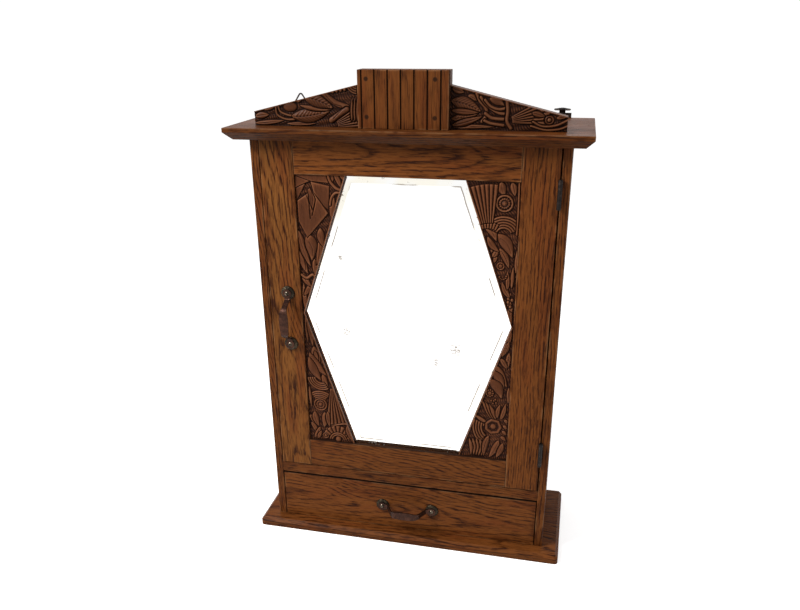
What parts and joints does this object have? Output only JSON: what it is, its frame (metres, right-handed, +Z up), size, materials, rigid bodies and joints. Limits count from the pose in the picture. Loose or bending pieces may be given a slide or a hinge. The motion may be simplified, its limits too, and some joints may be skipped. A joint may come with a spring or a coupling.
{
  "type": "medicine cabinet",
  "caption": "Wall-hung oak cabinet with a hexagonal mirror door, carved corner panels, a drawer below and a stepped carved crest above.",
  "frame": {"origin": "middle of the base board's underside, halfway between the top board's front edge and the back", "axes": "+Z up, +X to the right seen from the front, +Y from front to back"},
  "size_m": [0.448, 0.1902, 0.66],
  "materials": {
    "oak": "waxed, worn",
    "carved_oak": "dark stained carving, waxed",
    "inner_wood": "bare",
    "mirror": "silvered glass, foxed at the bevel",
    "aged_bronze": "dark hammered",
    "blackened_steel": "blackened",
    "dark_wire": "dull",
    "brass": "tarnished",
    "steel": "polished",
    "screw_steel": "worn"
  },
  "bodies": {
    "carcase": {"side_left": "oak", "side_right": "oak", "top_board": "oak", "base_board": "oak", "divider_board": "oak", "back_boards": "inner_wood", "shelf_lower": "inner_wood", "shelf_upper": "inner_wood", "shelf_cleats": "inner_wood", "door_stops": "inner_wood", "drawer_stops": "inner_wood", "top_dowels": "inner_wood", "base_screws": "screw_steel", "back_nails": "screw_steel", "crest_wing_left": "carved_oak", "crest_wing_right": "carved_oak", "crest_block": "oak", "crest_reeded_face": "oak", "crest_nails": "screw_steel", "crest_screws": "screw_steel", "hinge_lower_fixed_leaf": "blackened_steel", "hinge_upper_fixed_leaf": "blackened_steel", "hinge_lower_pin": "blackened_steel", "hinge_upper_pin": "blackened_steel", "hinge_screws_fixed": "screw_steel", "catch_strike": "brass", "strike_screws": "screw_steel", "hanger_plate_left": "blackened_steel", "hanger_plate_right": "blackened_steel", "hanger_screws": "screw_steel"},
    "door": {"door_stile_left": "oak", "door_stile_right": "oak", "door_rail_top": "oak", "door_rail_bottom": "oak", "spandrel_upper_left": "carved_oak", "spandrel_upper_right": "carved_oak", "spandrel_lower_left": "carved_oak", "spandrel_lower_right": "carved_oak", "mirror_glass": "mirror", "mirror_backing_board": "inner_wood", "mirror_beads": "oak", "bead_pins": "screw_steel", "door_pull_band": "aged_bronze", "door_pull_rosettes": "aged_bronze", "door_pull_screws": "screw_steel", "hinge_lower_door_leaf": "blackened_steel", "hinge_upper_door_leaf": "blackened_steel", "hinge_screws_door": "screw_steel", "catch_barrel": "brass"},
    "catch_ball": {"catch_ball": "steel"},
    "drawer": {"drawer_front": "oak", "drawer_side_left": "inner_wood", "drawer_side_right": "inner_wood", "drawer_back": "inner_wood", "drawer_bottom": "inner_wood", "drawer_pull_band": "aged_bronze", "drawer_pull_rosettes": "aged_bronze", "drawer_pull_screws": "screw_steel"},
    "ring_left": {"hanger_ring_left": "dark_wire"},
    "ring_right": {"hanger_ring_right": "dark_wire"}
  },
  "joints": [
    {"name": "door_swing", "type": "hinge", "parent": "carcase", "child": "door", "pos_m": [0.18825, -0.06485, 0.3425], "axis": [0, 0, 1], "range_deg": [0, 170]},
    {"name": "drawer_slide", "type": "slide", "parent": "carcase", "child": "drawer", "axis": [0, -1, 0], "range_m": [0, 0.1]},
    {"name": "catch_press", "type": "slide", "parent": "door", "child": "catch_ball", "axis": [1, 0, 0], "range_m": [0, 0.0009], "stiffness_N_per_m": 600},
    {"name": "ring_left_swing", "type": "hinge", "parent": "carcase", "child": "ring_left", "pos_m": [-0.181, 0.08535, 0.603], "axis": [-1, 0, 0], "range_deg": [-90, 110]},
    {"name": "ring_right_swing", "type": "hinge", "parent": "carcase", "child": "ring_right", "pos_m": [0.181, 0.08535, 0.603], "axis": [-1, 0, 0], "range_deg": [-180, 20]}
  ]
}
